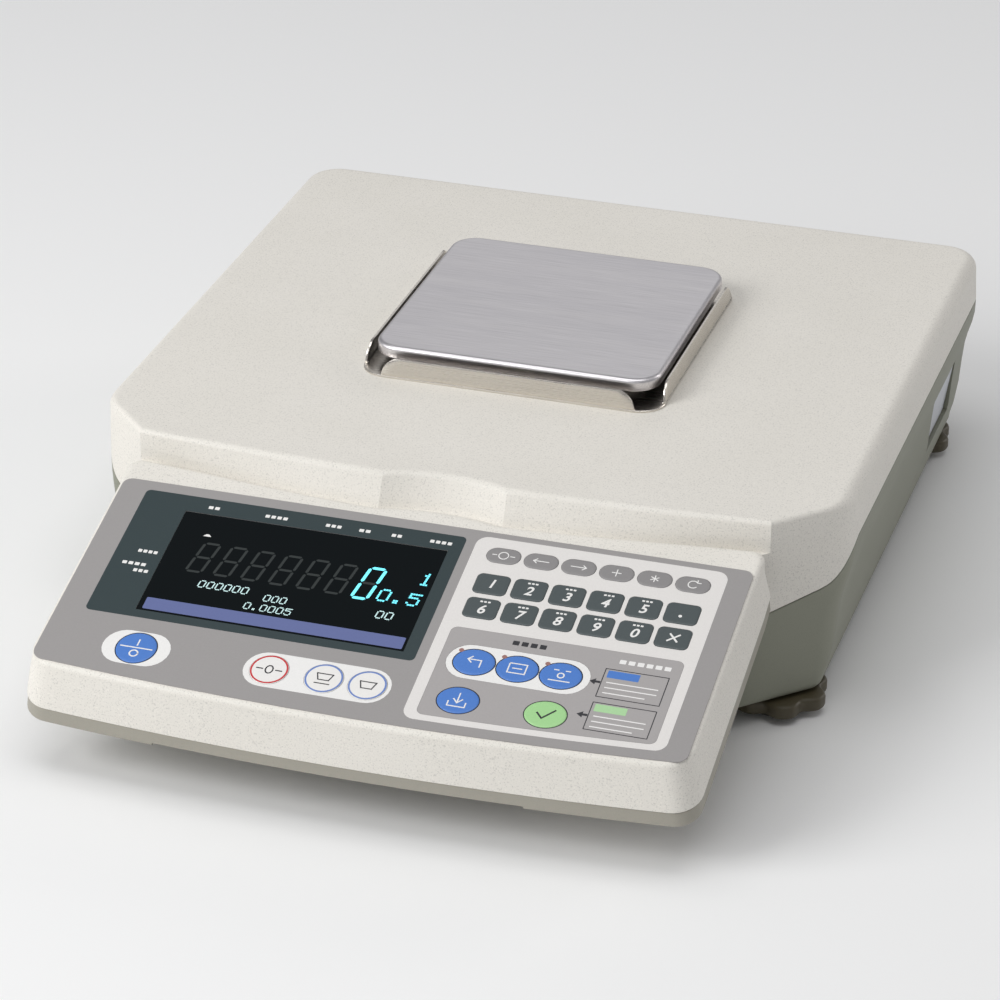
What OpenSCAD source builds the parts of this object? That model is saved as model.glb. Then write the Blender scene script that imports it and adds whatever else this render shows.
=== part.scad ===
// Counting scale with a small square pan, a tilted control console and levelling feet.
// Frame: +X to the user's right, +Y to the back, +Z up, table at z = 0, origin under the middle.
// "d" is a distance forward of the back of the body, "h" a height above the flat deck.

/* [Body] */
// Width of the body at the seam between cover and base
body_w = 331; // [325:1:340]
// Distance from the back of the body to the front of the console
overall_d = 434; // [430:1:440]
// Height of the flat deck above the table
deck_z = 94.5; // [92:0.5:100]
// Height of the underside of the base above the table
base_z = 10; // [9.5:0.5:11]
// How much each side wall leans in from the seam to the underside
side_taper = 10; // [6:0.5:11]
// Thickness of the moulded walls
wall = 2.8; // [2.4:0.2:3.2]

/* [Weighing pan] */
// Width of the pan
pan_w = 128; // [124:1:130]
// Depth of the pan, front to back
pan_d = 126; // [124:1:128]
// Height of the pan's top above the deck
pan_rise = 11.7; // [11.5:0.1:13]
// Distance from the back of the body to the middle of the pan
pan_setback = 151.2; // [148:0.2:156]
// Width and depth of the tray that stands round the pan
tray_w = 136.4; // [136:0.2:138]
// How far the tray sits in front of the pan's middle
tray_shift = 2; // [0:0.5:2.5]

/* [Console] */
// Slope of the control panel
console_slope = 15.8; // [14:0.2:18]
// Half the width of the console along its top edges
console_half_w = 138; // [136:0.5:140]
// How much wider each side of the console is at its seam
console_draft = 4; // [3:0.5:5]

/* [Keys] */
// Distance that a key travels when it is pressed
key_travel = 0.4; // [0.2:0.1:0.5]
// Clearance round each key
key_gap = 0.3; // [0.2:0.05:0.35]
// Distance between the number keys, side to side
key_pitch = 15.92; // [15.6:0.02:16.2]

/* [Feet] */
// Distance of each foot from the middle plane
foot_x = 138; // [134:0.5:140]
// Diameter over the lobes of a levelling knob
knob_d = 44; // [40:1:46]
// Radius of the threaded stud
stud_r = 4; // [3.5:0.5:4.5]

/* [Hidden] */
$fn = 48;
eps = 0.01;
rear_y = overall_d / 2;
half_w = body_w / 2;
base_h = base_z - deck_z;
seam_h = -21;
ledge_h = -14;
front_d = 314.6;
vertex_x = 137.3;
vertex_d = 301.5;
corner_r = 28;
rear_r = 16;
pan_z = deck_z + pan_rise;
pan_y = rear_y - pan_setback;
skin = 1.2;
tray_h = 9;
post_r = 13;
foot_d = [28, 281];
feet_at = [for (s = [-1, 1]) for (d = foot_d) [s * foot_x, rear_y - d]];
panel_origin_d = 320.5;
panel_origin_h = -12.5;
cover_screw_at = [for (s = [-1, 1]) for (d = [70, 235]) [s * 112, rear_y - d]];
tray_y = pan_y - tray_shift;
tray_screw_at = [for (s = [-1, 1]) for (t = [-1, 1]) [s * 56, tray_y + t * 30]];
cell_z = 44.5;
cell_size = [30, 130, 22];
cell_bolt = 55;
label_d = [38, 85];
label_h = [-68, -42];
cable_x = -47;

// Key table: name, shape (0 fn oval, 1 number key, 2 round key), u along the panel, v up the slope
fn_u = [for (k = [0:5]) 34.05 + key_pitch * k];
fn_keys = [for (k = [0:5]) [str("key_fn_", k + 1), 0, fn_u[k], -14.2]];
upper_keys = [for (k = [0:5]) [k < 5 ? str("key_", k + 1) : "key_point", 1, fn_u[k], -31.3]];
lower_names = ["key_6", "key_7", "key_8", "key_9", "key_0", "key_clear"];
lower_keys = [for (k = [0:5]) [lower_names[k], 1, fn_u[k], -45.4]];
round_keys = [
    ["key_recall", 2, 40.1, -75.4],
    ["key_unit_entry", 2, 58.0, -75.4],
    ["key_sample", 2, 75.9, -75.4],
    ["key_store", 2, 40.1, -97.1],
    ["key_confirm", 2, 75.9, -97.1],
    ["key_power", 2, -95.3, -97.0],
    ["key_zero", 2, -38.6, -97.1],
    ["key_tare_set", 2, -15.6, -97.1],
    ["key_tare", 2, 2.6, -97.1]];
KEYS = concat(fn_keys, upper_keys, lower_keys, round_keys);
KEY_NODES = [for (k = KEYS) k[0]];
FOOT_TAGS = ["rear_left", "front_left", "rear_right", "front_right"];
PAD_NODES = [for (t = FOOT_TAGS) str("foot_pad_", t)];
KNOB_NODES = [for (t = FOOT_TAGS) str("foot_knob_", t)];

// ---------- plan outlines ----------

function arc(cx, cy, r, from, to, n) =
    [for (k = [0:n]) [cx + r * cos(from + (to - from) * k / n), cy + r * sin(from + (to - from) * k / n)]];
function mirrored(pts) = [for (k = [len(pts) - 1:-1:0]) [-pts[k][0], pts[k][1]]];
function bow(x, half, depth) = depth * (1 - pow(x / half, 2));

// Right half of the body outline: rear corner, side, rounded front corner, then the front edge.
function half_outline(hw, r, inset, front) = concat(
    arc(hw - rear_r, rear_y - rear_r, rear_r - inset, 90, 0, 6),
    let (cx = hw - r, cy = rear_y - (vertex_d - (hw - vertex_x) - r * tan(22.5)))
        arc(cx, cy, r - inset, 0, -45, 5),
    front);
// Front edge of the deck: it bows forward by "depth" between the two corners.
function bowed_front(inset, d, depth) = [
    for (k = [0:5])
        let (x = (vertex_x - 0.4 * inset) * (1 - k / 5))
            [x, rear_y - d + inset - bow(x, vertex_x, depth)]];
// Front edge of the lower body: the corner runs on to a flat front wall.
function flat_front(inset) = [[vertex_x - (front_d - vertex_d) - 0.4 * inset, rear_y - front_d + inset]];
function closed(half) = concat(half, mirrored(half));

module deck_slab(h, inset, d, depth) {
    translate([0, 0, deck_z + h - 0.02])
        linear_extrude(0.02)
            polygon(closed(half_outline(half_w, corner_r, inset, bowed_front(inset, d, depth))));
}

module body_slab(h, hw, r, inset) {
    translate([0, 0, deck_z + h - 0.02])
        linear_extrude(0.02)
            polygon(closed(half_outline(hw, r, inset, flat_front(inset))));
}

// Height of the seam between cover and base: level along the sides, then it drops to the front.
function smooth(t) = let (s = min(1, max(0, t))) s * s * (3 - 2 * s);
function seam_at(d) = seam_h - 0.30 * max(0, d - 262) - 9.5 * smooth((d - 262) / 22);
seam_line = concat(
    [[rear_y + 5, deck_z + seam_h]],
    [for (d = [258:3:321]) [rear_y - d, deck_z + seam_at(d)]],
    [[rear_y - 330, deck_z + seam_at(321)]]);

// Everything below the seam, lowered or raised by "shift".
module below_seam(shift) {
    rotate([90, 0, 90])
        linear_extrude(400, center = true)
            translate([0, shift])
                polygon(concat(seam_line, [[rear_y - 330, -20], [rear_y + 5, -20]]));
}

// ---------- body ----------

module rounded(w, d, r) {
    union() {
        square([w - 2 * r, d], center = true);
        square([w, d - 2 * r], center = true);
        for (x = [-1, 1])
            for (y = [-1, 1])
                translate([x * (w / 2 - r), y * (d / 2 - r)])
                    circle(r);
    }
}

module column(x, y, z0, z1, r) {
    translate([x, y, z0])
        cylinder(h = z1 - z0, r = r);
}

module base_outer(inset) {
    hull() {
        body_slab(seam_h + 5, half_w, corner_r, inset);
        body_slab(base_h + 0.02 + (inset > 0 ? wall : 0), half_w - side_taper, 8, inset);
    }
    translate([0, 0, deck_z - 50])
        linear_extrude(50 + seam_h + 5)
            polygon(closed(concat([[100, rear_y - 280 + inset]], flat_front(inset))));
}

// The shallow recess in each side wall that holds a label plate, "grow" larger all round.
module side_recess(grow) {
    translate([-200, rear_y - label_d[1] - grow, deck_z + label_h[0] - grow])
        cube([400, label_d[1] - label_d[0] + 2 * grow, label_h[1] - label_h[0] + 2 * grow]);
}

module base_shell() {
    difference() {
        intersection() {
            base_outer(0);
            union() {
                below_seam(-0.3);
                intersection() {
                    below_seam(2.7);
                    base_outer(1.5);
                }
            }
        }
        base_outer(wall);
    }
}

module base_housing() {
    color("#b9b5a6")
    difference() {
        union() {
            base_shell();
            for (p = feet_at)
                column(p[0], p[1], base_z + eps, 30, 9);
            for (p = cover_screw_at)
                column(p[0], p[1], base_z + eps, 36, 5);
            for (x = [-130, -40])
                for (d = [90, 190])
                    column(x, rear_y - d, base_z + eps, 22, 3.5);
        }
        for (p = feet_at)
            column(p[0], p[1], base_z - 1, 31, stud_r + 0.05);
        for (p = cover_screw_at) {
            column(p[0], p[1], base_z - 1, 37, 1.6);
            column(p[0], p[1], base_z - 1, base_z + 4, 3.1);
        }
        for (y = [-8, 8])
            column(0, pan_y + cell_bolt + y, base_z - 1, base_z + 4, 2.6);
        difference() {
            side_recess(0);
            base_outer(1.5);
        }
        translate([95, rear_y - 1.5, 42])
            rotate([90, 0, 0])
                cylinder(h = 8, r = 5.6, center = true);
        translate([40, rear_y - 1.5, 42])
            cube([34, 8, 13], center = true);
    }
}

module side_label_plates() {
    color("#c9ccd2")
    difference() {
        intersection() {
            side_recess(-0.9);
            base_outer(0.3);
        }
        base_outer(1.4);
    }
}

module cover_outer() {
    union() {
        hull() {
            deck_slab(0, 5, vertex_d, 5.5);
            deck_slab(-1.5, 1.8, vertex_d, 5.8);
            deck_slab(-5, 0.3, vertex_d, 7);
            deck_slab(ledge_h, 0, vertex_d, 12);
        }
        translate([0, 0, deck_z - 60])
            linear_extrude(60 + ledge_h + 0.01)
                polygon(closed(half_outline(half_w, corner_r, 0, flat_front(0))));
    }
}

module top_cover() {
    color("#e9e6dc")
    difference() {
        cover_outer();
        below_seam(0);
        intersection() {
            below_seam(3.1);
            translate([0, 0, -20])
                linear_extrude(deck_z + ledge_h + 20)
                    polygon(closed(half_outline(half_w, corner_r, 1.4, flat_front(1.4))));
        }
        translate([0, 0, -20])
            linear_extrude(deck_z + ledge_h - wall + 20)
                polygon(closed(half_outline(half_w, corner_r, wall, flat_front(wall))));
        translate([0, 0, 20])
            linear_extrude(deck_z - wall - 20)
                polygon(closed(half_outline(half_w, corner_r, wall + 1, [[130, rear_y - 294]])));
        translate([0, rear_y - vertex_d - 1.5 - 93, deck_z + ledge_h])
            cylinder(h = 30, r = 93, $fn = 200);
        translate([0, pan_y, 60])
            cylinder(h = 60, r = post_r + 3);
        for (p = tray_screw_at)
            column(p[0], p[1], 60, 120, 1.6);
        translate([cable_x, rear_y - front_d, 64.6])
            cube([34, 12, 3], center = true);
    }
    color("#e9e6dc")
    for (p = cover_screw_at)
        difference() {
            column(p[0], p[1], 36, deck_z - wall + 0.5, 5);
            column(p[0], p[1], 35, 60, 1.6);
        }
}

module screw(head_r, head_h, r, length) {
    translate([0, 0, -head_h])
        cylinder(h = head_h, r = head_r);
    cylinder(h = length, r = r);
}

module cover_screws() {
    color("#a8abad")
    for (p = cover_screw_at)
        translate([p[0], p[1], base_z + 4])
            screw(2.9, 2.2, 1.5, 40);
}

// ---------- weighing mechanism ----------

module load_cell_base() {
    color("#9a9c9d")
    difference() {
        translate([-18, pan_y + cell_bolt - 18, base_z + wall])
            cube([36, 36, cell_z - base_z - wall]);
        for (y = [-8, 8])
            column(0, pan_y + cell_bolt + y, 0, 60, 2.6);
    }
}

module load_cell() {
    color("#c4c6c8")
    difference() {
        translate([-cell_size[0] / 2, pan_y - cell_size[1] / 2, cell_z])
            cube(cell_size);
        for (y = [-13, 13])
            translate([0, pan_y + y, cell_z + cell_size[2] / 2])
                rotate([0, 90, 0])
                    cylinder(h = 60, r = 8.5, center = true);
        translate([-30, pan_y - 13, cell_z + cell_size[2] / 2 - 3])
            cube([60, 26, 6]);
        for (y = [-8, 8]) {
            column(0, pan_y + cell_bolt + y, 0, 100, 2.6);
            column(0, pan_y - cell_bolt + y, 0, 100, 2.6);
        }
    }
}

module load_cell_screws() {
    color("#55585a")
    for (y = [-8, 8])
        translate([0, pan_y + cell_bolt + y, cell_z + cell_size[2]])
            mirror([0, 0, 1])
                screw(4.2, 5, 2.5, 55.6);
}

module pan_support() {
    top = cell_z + cell_size[2];
    color("#b3b6b8")
    difference() {
        union() {
            translate([-15, pan_y - 65, top])
                cube([30, 28, 7]);
            translate([-15, pan_y - 65, top + 7])
                cube([30, 80, 6]);
            column(0, pan_y, top + 7, deck_z + 3, post_r);
            translate([0, pan_y, deck_z + 2.5])
                linear_extrude(3)
                    union() {
                        circle(24);
                        for (a = [45, 135])
                            rotate(a)
                                square([138, 15], center = true);
                    }
        }
        for (y = [-8, 8]) {
            column(0, pan_y - cell_bolt + y, 0, 100, 2.6);
            column(0, pan_y - cell_bolt + y, top + 8, 100, 4.4);
        }
    }
}

module support_screws() {
    color("#55585a")
    for (y = [-8, 8])
        translate([0, pan_y - cell_bolt + y, cell_z + cell_size[2] + 8])
            mirror([0, 0, 1])
                screw(4.2, 4.6, 2.5, 22);
}

module pan_cushions() {
    color("#2e2e2e")
    for (a = [45:90:315])
        translate([0, pan_y, deck_z + 5.5])
            rotate(a)
                translate([60, 0, 0])
                    cylinder(h = pan_rise - skin - 5.5, r = 6.5);
}

module weighing_pan() {
    rim = 5.6;
    color("#c9c9cc")
    translate([0, pan_y, pan_z])
        difference() {
            union() {
                translate([0, 0, -rim])
                    linear_extrude(rim - 0.8)
                        rounded(pan_w, pan_d, 12);
                translate([0, 0, -0.8 - eps])
                    linear_extrude(0.4 + eps)
                        rounded(pan_w - 0.5, pan_d - 0.5, 11.75);
                translate([0, 0, -0.4 - eps])
                    linear_extrude(0.4 + eps)
                        rounded(pan_w - 1.6, pan_d - 1.6, 11.2);
            }
            translate([0, 0, -rim - 1])
                linear_extrude(rim + 1 - skin)
                    rounded(pan_w - 2 * skin, pan_d - 2 * skin, 12 - skin);
        }
}

// One upright side of the tray: its ends sweep down to the open corners.
module tray_side(foot) {
    sweep = 9;
    difference() {
        translate([-foot / 2, 0])
            square([foot, tray_h]);
        for (s = [-1, 1])
            translate([s * foot / 2, tray_h])
                circle(sweep - 0.4);
    }
}

module breeze_tray() {
    t = 1;
    foot = tray_w - 24;
    color("#bdb9ae")
    translate([0, tray_y, deck_z])
        union() {
            difference() {
                linear_extrude(t)
                    rounded(tray_w, tray_w, 12);
                translate([0, tray_shift, -1])
                    cylinder(h = 4, r = post_r + 3);
                for (p = tray_screw_at)
                    translate([p[0], p[1] - tray_y, -1])
                        cylinder(h = 4, r = 1.6);
                translate([0, -50, -1])
                    cylinder(h = 4, r = 6.1);
            }
            for (a = [0:90:270])
                rotate(a)
                    translate([0, -tray_w / 2 + t, 0])
                        rotate([90, 0, 0])
                            linear_extrude(t)
                                tray_side(foot);
        }
}

module tray_screws() {
    color("#a8abad")
    for (p = tray_screw_at)
        translate([p[0], p[1], deck_z + 1])
            mirror([0, 0, 1])
                screw(2.8, 1.3, 1.5, 7);
}

module level_vial() {
    color("#b7c96a")
    translate([0, tray_y - 50, deck_z + 0.1])
        union() {
            cylinder(h = 3.4, r = 6);
            translate([0, 0, 1])
                cylinder(h = 1.4, r = 7.4);
        }
}

// ---------- console, drawn in the panel's own frame: u to the right, v up the slope, n out of it ----------

module panel_frame() {
    translate([0, rear_y - panel_origin_d, deck_z + panel_origin_h])
        rotate([console_slope, 0, 0])
            children();
}

// The console outline at one depth below the panel face.
function console_back(u, hw) = 3.9 + 8.2 * (1 - pow(max(0, 1 - pow(u / hw, 2)), 1.5));
function console_front(u, hw, v) = v - bow(u, hw, 4.8);
function console_half(hw, v_front, inset) = concat(
    [for (k = [0:6])
        let (u = (hw - 5) * k / 6)
            [u * (1 - inset / hw), console_back(u, hw) - inset]],
    [[hw - inset, 9 - inset]],
    arc(hw - 11, v_front + 11, 11 - inset, 0, -86, 6),
    [for (k = [0:5]) let (u = (hw - 18) * (1 - k / 5)) [u, console_front(u, hw, v_front) + inset]]);

module console_slab(n, hw, v_front, inset) {
    translate([0, 0, n - 0.02])
        linear_extrude(0.02)
            polygon(closed(console_half(hw, v_front, inset)));
}

module console_outer(inset) {
    hull() {
        console_slab(-inset, console_half_w, -112.8, inset + 1.6);
        console_slab(-2.2 - inset, console_half_w + 0.6, -113.8, inset);
        console_slab(-30, console_half_w + 1.4 * console_draft, -122.0, inset);
    }
}

// The space below the console's own seam.
module below_console_seam(shift) {
    rotate([90, 0, 90])
        linear_extrude(400, center = true)
            polygon([[40, -16 + shift], [-140, -21.3 + shift], [-140, -60], [40, -60]]);
}

// The space that the body takes, from the back edge of the console backwards.
module body_space(gap) {
    translate([0, rear_y - front_d - gap + 200, 0])
        cube([500, 400, 2 * (deck_z + ledge_h + gap)], center = true);
    translate([0, rear_y - 304 + 200, 100])
        cube([500, 400, 400], center = true);
}

// The same for the bowed front of the deck, above the ledge.
module deck_space(gap) {
    hull() {
        deck_slab(2, -gap, vertex_d, 5.5);
        deck_slab(ledge_h, -gap, vertex_d, 12);
    }
}

module key_shape(kind, grow) {
    if (kind == 0)
        rounded(14.4 + 2 * grow, 8.8 + 2 * grow, 4.3 + grow);
    if (kind == 1)
        rounded(14.0 + 2 * grow, 11.6 + 2 * grow, 2.4 + grow);
    if (kind == 2)
        circle(8.4 + grow);
}

module key_holes(n0, n1) {
    for (k = KEYS)
        translate([k[2], k[3], n0])
            linear_extrude(n1 - n0)
                key_shape(k[1], key_gap);
}

window_u = [-103.5, 10.5];
window_v = [-75.5, -16];

module window_block(grow, n0, n1) {
    translate([window_u[0] - grow, window_v[0] - grow, n0])
        cube([window_u[1] - window_u[0] + 2 * grow, window_v[1] - window_v[0] + 2 * grow, n1 - n0]);
}

console_boss_at = [[-126, -20], [126, -8], [-126, -98], [130, -98], [17, -60]];

module console_upper_shell() {
    color("#eceae1")
    difference() {
        union() {
            difference() {
                panel_frame()
                    console_outer(0);
                panel_frame()
                    console_outer(wall);
            }
            panel_frame()
                for (p = console_boss_at)
                    translate([p[0], p[1], -14])
                        cylinder(h = 14 - wall + 0.6, r = 3.6);
        }
        panel_frame()
            below_console_seam(0);
        body_space(0.3);
        deck_space(0.4);
        panel_frame()
            key_holes(-8, 2);
        panel_frame()
            window_block(0.2, -8, 2);
        panel_frame()
            for (p = console_boss_at)
                translate([p[0], p[1], -40])
                    cylinder(h = 36, r = 1.3);
    }
}

module console_lower_shell() {
    color("#aeaa9c")
    difference() {
        union() {
            difference() {
                panel_frame()
                    intersection() {
                        console_outer(0.9);
                        below_console_seam(-0.2);
                    }
                panel_frame()
                    intersection() {
                        console_outer(wall + 0.9);
                        translate([0, 0, 3])
                            below_lower_face(-1);
                    }
            }
            intersection() {
                panel_frame()
                    difference() {
                        console_outer(wall + 1.2);
                        below_lower_face(-1);
                    }
                panel_frame()
                    for (p = console_boss_at)
                        translate([p[0], p[1], -30])
                            cylinder(h = 16, r = 3.6);
            }
        }
        panel_frame()
            below_lower_face(0);
        panel_frame()
            translate([0, 0, 1.6])
                intersection() {
                    below_lower_face(0);
                    translate([-88, -160, -60])
                        cube([176, 300, 60]);
                }
        body_space(0.3);
        panel_frame()
            for (p = console_boss_at) {
                translate([p[0], p[1], -50])
                    cylinder(h = 50, r = 1.6);
                translate([p[0], p[1], -50])
                    cylinder(h = 28, r = 2.9);
            }
    }
}

// The space below the console's underside; mode -1 keeps the space above it.
module below_lower_face(mode) {
    rotate([90, 0, 90])
        linear_extrude(400, center = true)
            if (mode < 0)
                polygon([[40, -22.5], [-140, -27.8], [-140, 10], [40, 10]]);
            else
                polygon([[40, -22.5], [-140, -27.8], [-140, -80], [40, -80]]);
}

module console_screws() {
    color("#a8abad")
    panel_frame()
        for (p = console_boss_at)
            translate([p[0], p[1], -22])
                screw(2.7, 1.8, 1.25, 12);
}

module control_overlay() {
    color("#a09c98")
    panel_frame()
        difference() {
            linear_extrude(0.4)
                difference() {
                    polygon(closed(concat(
                        [[0, -1.4]],
                        arc(132, -5.4, 4, 90, 0, 5),
                        arc(131, -105.7, 5, 0, -85, 5),
                        [for (k = [0:5]) let (u = 126 * (1 - k / 5)) [u, -110.7 - bow(u, 131, 4.8)]])));
                    for (k = KEYS)
                        translate([k[2], k[3]])
                            key_shape(k[1], key_gap);
                }
            window_block(0.2, -1, 2);
        }
}

module display_window() {
    color("#1c2224")
    panel_frame()
        window_block(0, -1.4, 0.4);
}

module display_module() {
    color("#101416")
    panel_frame()
        union() {
            window_block(-2, -6.5, -2);
            translate([-107, -78, -8.1])
                cube([119.9, 68, 1.6]);
        }
}

module key_board() {
    dome_h = 1.1;
    color("#2f6b45")
    panel_frame()
        union() {
            difference() {
                union() {
                    translate([20, -104, -8.1])
                        cube([104, 97, 1.6]);
                    translate([-107, -105, -8.1])
                        cube([127.02, 22, 1.6]);
                }
                for (p = console_boss_at)
                    translate([p[0], p[1], -10])
                        cylinder(h = 5, r = 4.2);
            }
            for (k = KEYS)
                translate([k[2], k[3], -6.5 - eps])
                    cylinder(h = dome_h, r = 3.2);
            translate([cable_x - 17, -90, -12.2])
                cube([34, 7, 4.11]);
        }
}

module key(k) {
    tints = ["#8f8f8d", "#525a5c", "#4f83cd"];
    white = k[3] < -90 && k[2] > -50 && k[2] < 10;
    color(k[0] == "key_confirm" ? "#a9d59b" : white ? "#f2f0ec" : tints[k[1]])
    panel_frame()
        translate([k[2], k[3], 0])
            union() {
                translate([0, 0, -3])
                    linear_extrude(3.7)
                        key_shape(k[1], 0);
                translate([0, 0, -3.9])
                    linear_extrude(0.91)
                        key_shape(k[1], k[1] == 2 ? 0.5 : 0.6);
                translate([0, 0, -4.8])
                    cylinder(h = 1, r = 2.4);
            }
}

// ---------- electronics inside the body ----------

module main_board() {
    color("#2f6b45")
    union() {
        difference() {
            translate([-136, rear_y - 196, 22])
                cube([110, 112, 1.6]);
            for (x = [-130, -40])
                for (d = [90, 190])
                    column(x, rear_y - d, 20, 26, 1.2);
            for (p = cover_screw_at)
                column(p[0], p[1], 20, 26, 6);
        }
        translate([-100, rear_y - 150, 23.59])
            cube([24, 24, 3]);
        translate([-62, rear_y - 140, 23.59])
            cube([18, 30, 12]);
        translate([-120, rear_y - 130, 23.59])
            cylinder(h = 20, r = 6.5);
        translate([cable_x - 17, rear_y - 194, 23.59])
            cube([34, 7, 6]);
    }
}

// Flat cable: from the main board, through the front wall, up to the console board.
module ribbon_cable() {
    t = 0.8;
    route = [
        [rear_y - 194.2, 26.4], [rear_y - 204, 26.4], [rear_y - 240, 36], [rear_y - 285, 64.2],
        [rear_y - 338, 64.2], [rear_y - 372, 55], [rear_y - 397, 48.8]];
    color("#c9cdd2")
    translate([cable_x, 0, 0])
        rotate([90, 0, 90])
            linear_extrude(30, center = true)
                polygon(concat(route, [for (k = [len(route) - 1:-1:0]) [route[k][0], route[k][1] + t]]));
}

module dc_jack() {
    color("#1d1d1d")
    translate([95, rear_y - 1.2, 42])
        rotate([90, 0, 0])
            difference() {
                cylinder(h = 14, r = 5.5);
                translate([0, 0, -1])
                    cylinder(h = 11, r = 2.8);
            }
}

module data_port() {
    color("#8d9093")
    translate([40, rear_y - 1.4, 42])
        rotate([90, 0, 0])
            difference() {
                union() {
                    translate([0, 0, 3.6])
                        cube([33.4, 12.4, 7.2], center = true);
                    translate([0, 0, 9])
                        cube([28, 14, 8], center = true);
                }
                translate([0, 0, -1])
                    linear_extrude(8)
                        rounded(18, 8.6, 2.2);
            }
}

// ---------- levelling feet ----------

module foot_pad(p) {
    color("#3a3a38")
    translate([p[0], p[1], 0])
        difference() {
            cylinder(h = 3, r = 14);
            translate([0, 0, 1.4])
                cylinder(h = 3, r = 3.05);
        }
}

module foot_knob(p) {
    lobes = 7;
    color("#4d4636")
    translate([p[0], p[1], 0])
        union() {
            difference() {
                translate([0, 0, 3.05])
                    cylinder(h = 5.95, r = knob_d / 2);
                for (k = [0:lobes - 1])
                    rotate(360 / lobes * k + 10)
                        translate([knob_d / 2 + 5.5, 0, 0])
                            cylinder(h = 20, r = 8);
            }
            translate([0, 0, 8.9])
                cylinder(h = 24, r = stud_r);
            translate([0, 0, 1.45])
                cylinder(h = 1.65, r = 3);
        }
}

base_housing();
top_cover();
console_upper_shell();
console_lower_shell();
control_overlay();
display_window();
display_module();
key_board();
main_board();
ribbon_cable();
load_cell();
load_cell_base();
load_cell_screws();
pan_support();
support_screws();
pan_cushions();
weighing_pan();
breeze_tray();
tray_screws();
level_vial();
cover_screws();
console_screws();
dc_jack();
data_port();
side_label_plates();
for (k = [0:3]) foot_pad(feet_at[k]);
for (k = [0:3]) foot_knob(feet_at[k]);
for (k = KEYS) key(k);
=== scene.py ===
# Looks for the counting scale: shells, pan, console, keys and their materials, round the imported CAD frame.
import math
import bpy
import bmesh
from mathutils import Matrix, Vector


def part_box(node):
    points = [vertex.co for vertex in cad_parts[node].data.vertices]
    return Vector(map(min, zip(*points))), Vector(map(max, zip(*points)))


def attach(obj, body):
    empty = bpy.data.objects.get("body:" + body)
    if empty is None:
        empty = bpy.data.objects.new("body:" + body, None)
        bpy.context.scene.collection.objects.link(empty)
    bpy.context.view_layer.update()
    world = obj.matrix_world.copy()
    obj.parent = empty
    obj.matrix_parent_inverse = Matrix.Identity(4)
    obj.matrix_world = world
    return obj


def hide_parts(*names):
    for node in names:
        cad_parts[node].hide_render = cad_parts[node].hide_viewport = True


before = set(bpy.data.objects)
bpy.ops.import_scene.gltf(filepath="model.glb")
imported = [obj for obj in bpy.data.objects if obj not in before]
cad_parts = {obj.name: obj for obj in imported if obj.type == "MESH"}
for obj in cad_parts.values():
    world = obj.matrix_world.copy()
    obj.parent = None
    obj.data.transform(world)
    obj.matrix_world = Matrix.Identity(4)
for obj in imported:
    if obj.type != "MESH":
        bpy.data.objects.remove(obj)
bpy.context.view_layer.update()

# ---------------------------------------------------------------- sizes, in millimetres
MM = 0.001


def cad_box(node):
    """Lowest and highest corner of a CAD node, in millimetres."""
    low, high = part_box(node)
    return low / MM, high / MM


cover_low, cover_high = cad_box("top_cover")
base_low, base_high = cad_box("base_housing")
REAR = cover_high.y                 # y of the back of the body
DECK = cover_high.z                 # z of the flat deck
SIDE = cover_high.x - 0.1           # half width of the body at its seam
UNDER = base_low.z - DECK           # height of the underside, from the deck
FRONT_D = REAR - cover_low.y        # distance from the back to the body's lower front wall
VERTEX_X, VERTEX_D = 137.3, 301.5   # the upright edge where the cut corner meets the front
REAR_R, CORNER_R = 16.0, 28.0
LEDGE_H = -14.0
SEAM_H = -21.0
WALL = 2.8
COVER_CREASE = 13                   # degrees; keeps the edges of the shallow scallop crisp
SCALLOP_X, SCALLOP_DEPTH = 27.0, 5.0
CONSOLE_BOW = 4.8
PANEL_D, PANEL_H = 320.5, -12.5
SLOPE = math.radians(15.8)
CONSOLE_X = 138.0                   # half width of the console's face
CONSOLE_CORNER = 12.0               # radius of its front corners
LABEL_GAP = 0.9                     # between a side label's plate and the edge of its recess
STUD_PITCH = 1.25                   # of a foot's thread


# ---------------------------------------------------------------- mesh helpers

def add_object(name, mesh, material, body, replaces=()):
    piece = bpy.data.objects.new(name, mesh)
    bpy.context.scene.collection.objects.link(piece)
    for one in material if isinstance(material, (list, tuple)) else (material,):
        mesh.materials.append(one)
    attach(piece, body)
    if replaces:
        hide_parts(*replaces)
    return piece


def smooth_by_angle(mesh, degrees):
    """Smooth shading with an edge kept crisp where its faces meet at more than the angle."""
    bm = bmesh.new()
    bm.from_mesh(mesh)
    bmesh.ops.recalc_face_normals(bm, faces=bm.faces)
    limit = math.radians(degrees)
    for face in bm.faces:
        face.smooth = True
    for edge in bm.edges:
        edge.smooth = len(edge.link_faces) == 2 and edge.calc_face_angle(math.pi) < limit
    bm.to_mesh(mesh)
    bm.free()


def loft_mesh(name, rings, caps=(True, True), angle=32):
    """A closed skin through rings that all have the same number of points."""
    count = len(rings[0])
    points = [Vector(p) * MM for ring in rings for p in ring]
    faces = []
    for k in range(len(rings) - 1):
        for i in range(count):
            j = (i + 1) % count
            faces.append((k * count + i, k * count + j, (k + 1) * count + j, (k + 1) * count + i))
    if caps[0]:
        faces.append(tuple(reversed(range(count))))
    if caps[1]:
        faces.append(tuple((len(rings) - 1) * count + i for i in range(count)))
    mesh = bpy.data.meshes.new(name)
    mesh.from_pydata(points, [], faces)
    mesh.validate()
    smooth_by_angle(mesh, angle)
    return mesh


def apply_modifiers(piece, angle):
    graph = bpy.context.evaluated_depsgraph_get()
    mesh = bpy.data.meshes.new_from_object(piece.evaluated_get(graph))
    piece.modifiers.clear()
    piece.data = mesh
    smooth_by_angle(mesh, angle)


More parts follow.
